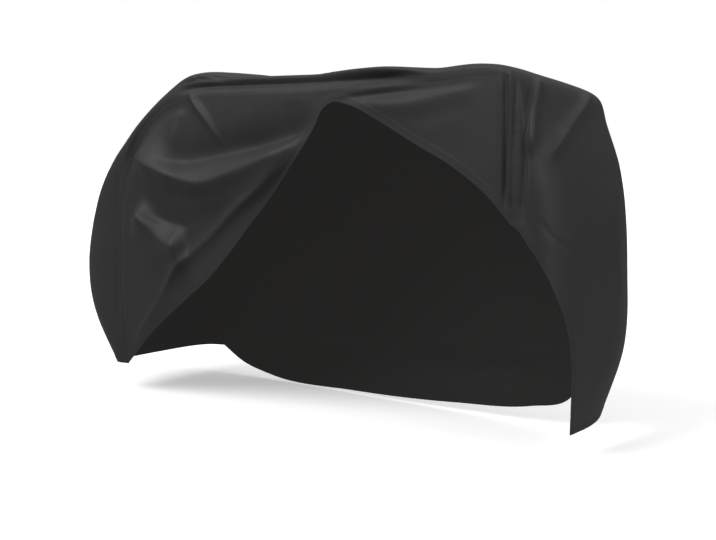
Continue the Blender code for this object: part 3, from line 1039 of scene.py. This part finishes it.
def cloth_materials(colour, settings):
    """The outside and the coated inside of a sheet; the inside has a painted glow."""
    outside = woven_cloth(
        "coated_cloth_outside", colour, roughness=0.60, specular=0.31, sheen=0.04, crumple=1.0
    )
    inside = woven_cloth(
        "coated_cloth_inside_painted_glow",
        settings.lining_colour,
        roughness=0.7,
        specular=0.1,
        sheen=0.0,
        crumple=0.8,
    )
    # painted light: an even, slightly warm glow on the inside, whatever the lamps do
    glow = inside.node_tree.nodes["Principled BSDF"]
    glow.inputs["Emission Color"].default_value = (*INSIDE_PAINTED_GLOW_COLOUR, 1.0)
    glow.inputs["Emission Strength"].default_value = INSIDE_PAINTED_GLOW
    return [outside, inside]


# ------------------------------------------------------------------ operators


class COVER_OT_centre_strip(bpy.types.Operator):
    """Adds the strip over rear, top and front, with its topstitching"""

    bl_idname = "bicycle_cover.centre_strip"
    bl_label = "Centre strip"
    bl_options = {"REGISTER", "UNDO"}

    def execute(self, context):
        settings = context.scene.bicycle_cover
        grid = centre_strip(settings.hem_width, settings.seam_width)
        sheet = add_cloth(
            "centre_strip_cloth",
            "centre_strip",
            grid,
            cloth_materials(settings.strip_colour, settings),
            settings,
        )
        foot = arch_foot_row()
        hem = settings.hem_width - HEM_STITCH_INSET
        lines = [
            line_beside(grid, "first_row", hem),
            line_beside(grid, "last_row", hem),
            line_beside(grid, "first_column", hem, slice(foot + PAST_FOOT, None)),
        ]
        for distance in (SEAM_STITCH_INSET, settings.seam_width - SEAM_STITCH_INSET):
            lines.append(line_beside(grid, "last_column", distance))
            lines.append(line_beside(grid, "first_column", distance, slice(None, foot)))
        stitches = add_stitches(
            "centre_strip_stitches", lines, thread_material(settings.thread_colour), settings
        )
        return {"FINISHED"}


class COVER_OT_side_panels(bpy.types.Operator):
    """Adds the lifted side panel and the hanging one, with their topstitching"""

    bl_idname = "bicycle_cover.side_panels"
    bl_label = "Side panels"
    bl_options = {"REGISTER", "UNDO"}

    def execute(self, context):
        settings = context.scene.bicycle_cover
        materials = cloth_materials(settings.panel_colour, settings)
        thread = thread_material(settings.thread_colour)
        hem = settings.hem_width - HEM_STITCH_INSET
        for side, panel, held, flat, area in (
            ("near", near_panel, "draped", (1.65, 0.95), 0.64),
            ("far", far_panel, "hung", (1.65, 1.06), 1.62),
        ):
            grid = panel(settings.hem_width)
            name = side + "_side_panel"
            sheet = add_cloth(name + "_cloth", name, grid, materials, settings)
            lines = [line_beside(grid, "first_column", hem)]
            stitches = add_stitches(name + "_stitches", lines, thread, settings)
        return {"FINISHED"}


class COVER_OT_studio(bpy.types.Operator):
    """Adds the plain floor, the soft lights and the camera"""

    bl_idname = "bicycle_cover.studio"
    bl_label = "Studio"
    bl_options = {"REGISTER", "UNDO"}

    def execute(self, context):
        settings = context.scene.bicycle_cover
        add_floor(settings)
        add_lights(context.scene)
        add_surround(context.scene)
        add_camera(context.scene)
        return {"FINISHED"}


def add_floor(settings):
    """A wide pale floor. It glows a little, as a lit studio sweep does."""
    ground = bmesh.new()
    bmesh.ops.create_circle(ground, cap_ends=True, segments=96, radius=FLOOR_RADIUS)
    mesh = bpy.data.meshes.new("studio_floor")
    ground.to_mesh(mesh)
    ground.free()
    floor = bpy.data.objects.new("studio_floor", mesh)
    floor.location.z = CAD_BOX[0][2] - FLOOR_DROP
    bench = NodeBench("studio_floor")
    bench.surface.inputs["Base Color"].default_value = (*settings.floor_colour, 1.0)
    bench.surface.inputs["Roughness"].default_value = 0.9
    bench.surface.inputs["Specular IOR Level"].default_value = 0.0
    bench.surface.inputs["Emission Color"].default_value = (1.0, 1.0, 1.0, 1.0)
    bench.surface.inputs["Emission Strength"].default_value = FLOOR_GLOW
    mesh.materials.append(bench.material)
    bpy.context.scene.collection.objects.link(floor)
    floor.visible_diffuse = False
    floor.visible_glossy = False


def add_lights(scene):
    """A soft light to each side of the camera."""
    for name, strength, spread, tilt, turn in SUNS:
        light = bpy.data.lights.new(name, "SUN")
        light.energy = strength
        light.angle = math.radians(spread)
        sun = bpy.data.objects.new(name, light)
        sun.rotation_euler = (math.radians(tilt), 0.0, math.radians(turn))
        scene.collection.objects.link(sun)


def add_surround(scene):
    """A surround that lights the cover mostly from overhead, and that the camera sees as white."""
    world = bpy.data.worlds.new("studio")
    scene.world = world
    world.use_nodes = True
    nodes, links = world.node_tree.nodes, world.node_tree.links
    way = nodes.new("ShaderNodeTexCoord")
    split = nodes.new("ShaderNodeSeparateXYZ")
    ramp = nodes.new("ShaderNodeValToRGB")
    ramp.color_ramp.interpolation = "LINEAR"
    elements = ramp.color_ramp.elements
    while len(elements) < len(SURROUND):
        elements.new(0.5)
    for element, (place, value) in zip(elements, SURROUND):
        element.position = place
        element.color = (value, value, value, 1.0)
    lift = nodes.new("ShaderNodeMath")  # from -1 to 1 becomes from 0 to 1
    lift.operation = "MULTIPLY_ADD"
    lift.inputs[1].default_value = 0.5
    lift.inputs[2].default_value = 0.5
    seen = nodes.new("ShaderNodeLightPath")
    plain = nodes.new("ShaderNodeBackground")
    either = nodes.new("ShaderNodeMixShader")
    links.new(way.outputs["Generated"], split.inputs[0])
    links.new(split.outputs["Z"], lift.inputs[0])
    links.new(lift.outputs[0], ramp.inputs["Fac"])
    links.new(ramp.outputs["Color"], nodes["Background"].inputs["Color"])
    links.new(seen.outputs["Is Camera Ray"], either.inputs[0])
    links.new(nodes["Background"].outputs[0], either.inputs[1])
    links.new(plain.outputs[0], either.inputs[2])
    links.new(either.outputs[0], nodes["World Output"].inputs["Surface"])
    plain.inputs["Color"].default_value = (1.0, 1.0, 1.0, 1.0)
    scene.view_settings.view_transform = "Standard"


def add_camera(scene):
    """The photograph's view."""
    lens = bpy.data.cameras.new("camera")
    lens.lens, lens.sensor_width, lens.sensor_fit = CAMERA_LENS, CAMERA_SENSOR, "HORIZONTAL"
    camera = bpy.data.objects.new("camera", lens)
    camera.location = CAMERA_PLACE
    camera.rotation_euler = (math.radians(90.0 - CAMERA_DOWN), 0.0, math.radians(CAMERA_TURN))
    scene.collection.objects.link(camera)
    scene.camera = camera


# ------------------------------------------------------------------ panel and running


class VIEW3D_PT_bicycle_cover(bpy.types.Panel):
    """The cover's sizes, colours and pieces"""

    bl_label = "Bicycle cover"
    bl_space_type = "VIEW_3D"
    bl_region_type = "UI"
    bl_category = "Cover"

    def draw(self, context):
        settings = context.scene.bicycle_cover
        for name in CoverSettings.__annotations__:
            self.layout.prop(settings, name)
        for operator in PIECE_OPERATORS:
            self.layout.operator(operator.bl_idname)


PIECE_OPERATORS = (
    COVER_OT_centre_strip,
    COVER_OT_side_panels,
    COVER_OT_studio,
)
CLASSES = (CoverSettings, *PIECE_OPERATORS, VIEW3D_PT_bicycle_cover)


def register():
    for item in CLASSES:
        bpy.utils.register_class(item)
    bpy.types.Scene.bicycle_cover = PointerProperty(type=CoverSettings)


def unregister():
    del bpy.types.Scene.bicycle_cover
    for item in reversed(CLASSES):
        bpy.utils.unregister_class(item)


def main():
    register()
    bpy.ops.bicycle_cover.centre_strip()
    bpy.ops.bicycle_cover.side_panels()
    bpy.ops.bicycle_cover.studio()


if __name__ == "__main__":
    main()
